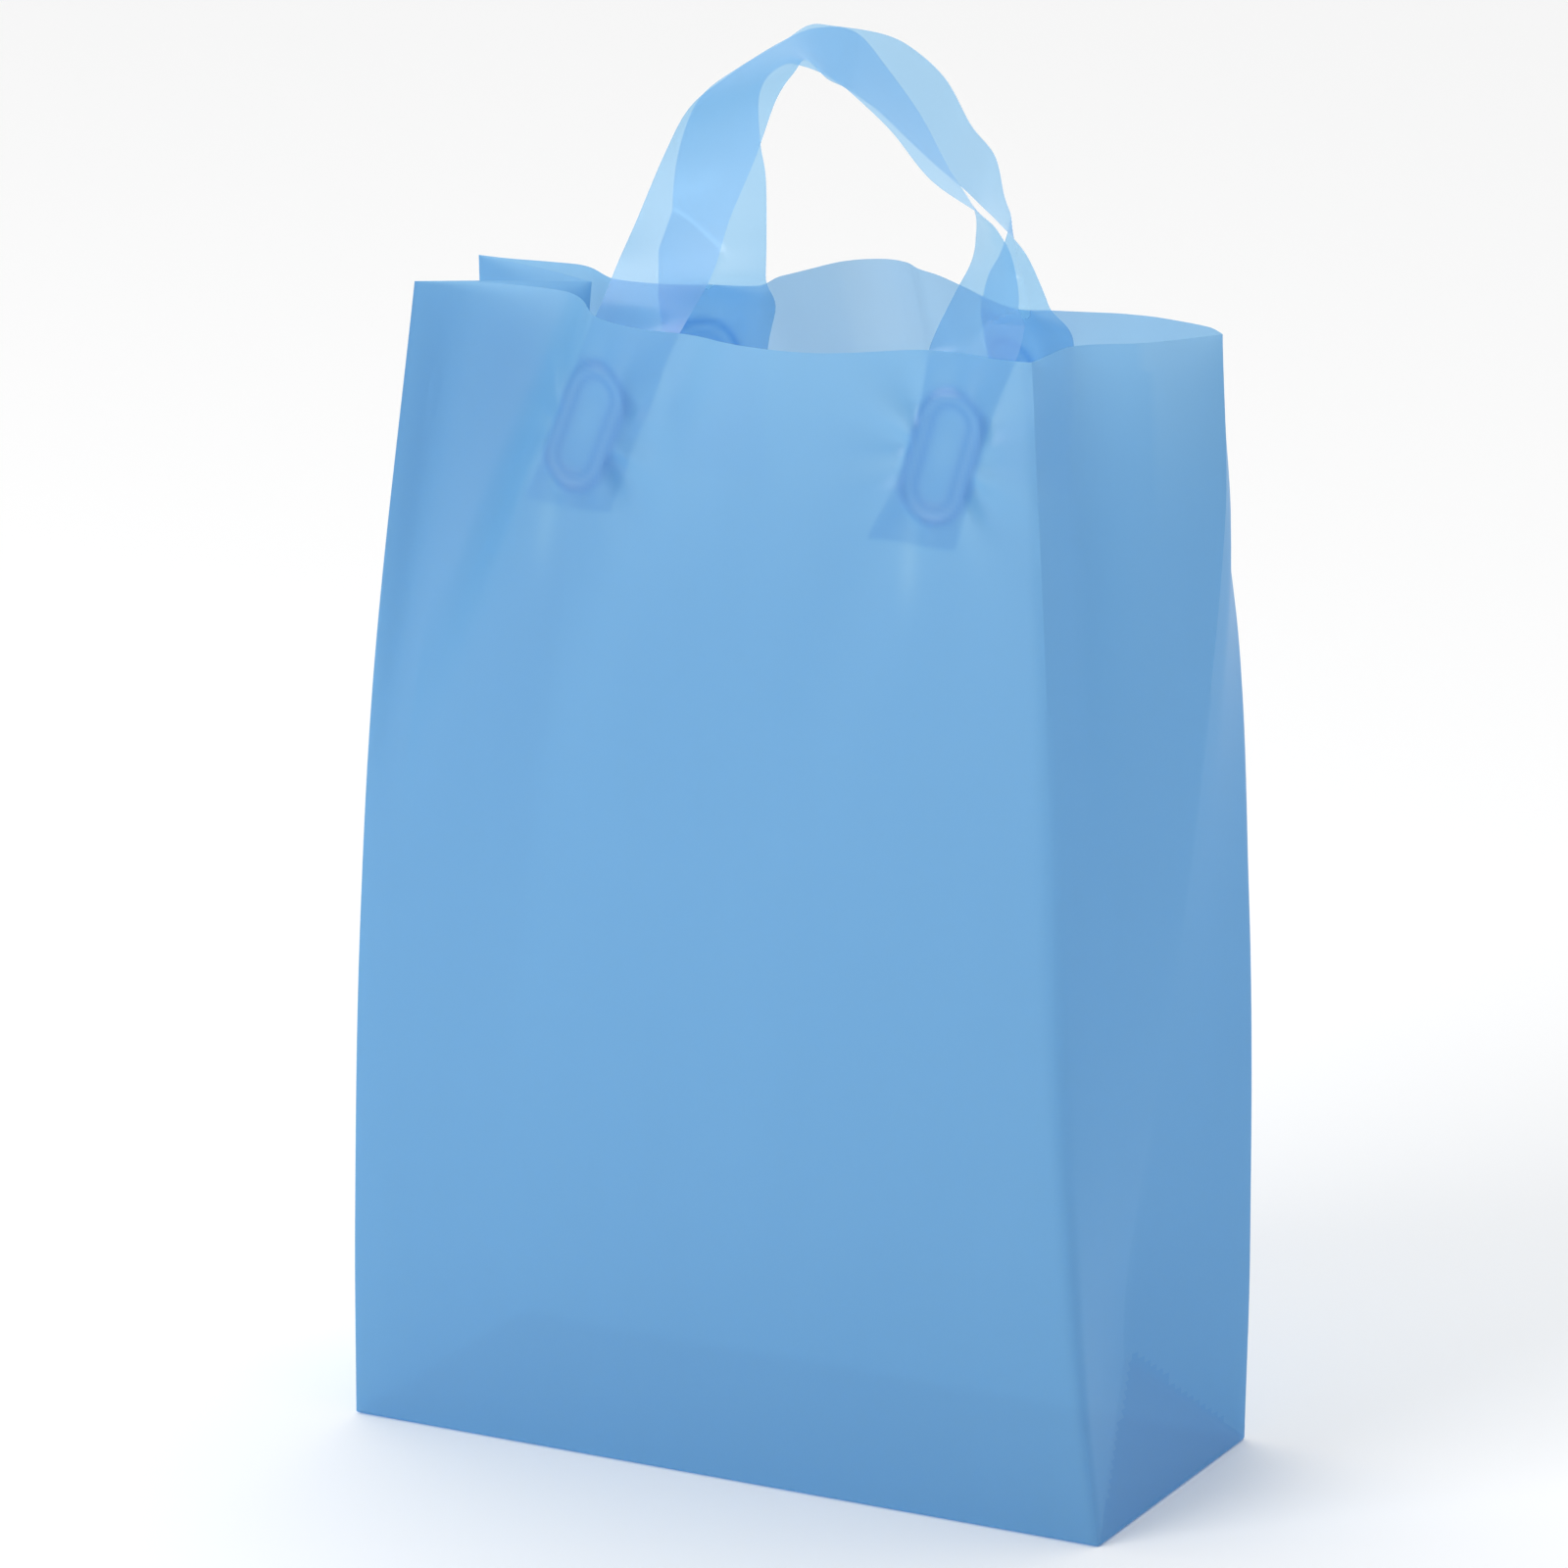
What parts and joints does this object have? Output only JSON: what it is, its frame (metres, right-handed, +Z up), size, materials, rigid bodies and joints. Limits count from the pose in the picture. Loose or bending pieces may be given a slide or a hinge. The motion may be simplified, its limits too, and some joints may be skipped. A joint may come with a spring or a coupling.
{
  "type": "plastic carrier bag",
  "caption": "Upright translucent film carrier bag with pleated sides, a flat base, an open mouth and looped film strip handles sealed inside the rim.",
  "frame": {"origin": "middle of the flat base, on the surface that the bag stands on", "axes": "+Z up towards the handles, -Y towards the front panel, +X towards the right side pleat seen from the front"},
  "size_m": [0.2641, 0.1197, 0.4357],
  "materials": {
    "bag_film": "frosted translucent blue polythene film with a soft sheen",
    "handle_film": "clearer light blue polythene film, slightly glossy"
  },
  "bodies": {
    "root": {"bag_body": "bag_film", "front_handle": "handle_film", "back_handle": "handle_film"}
  },
  "joints": []
}
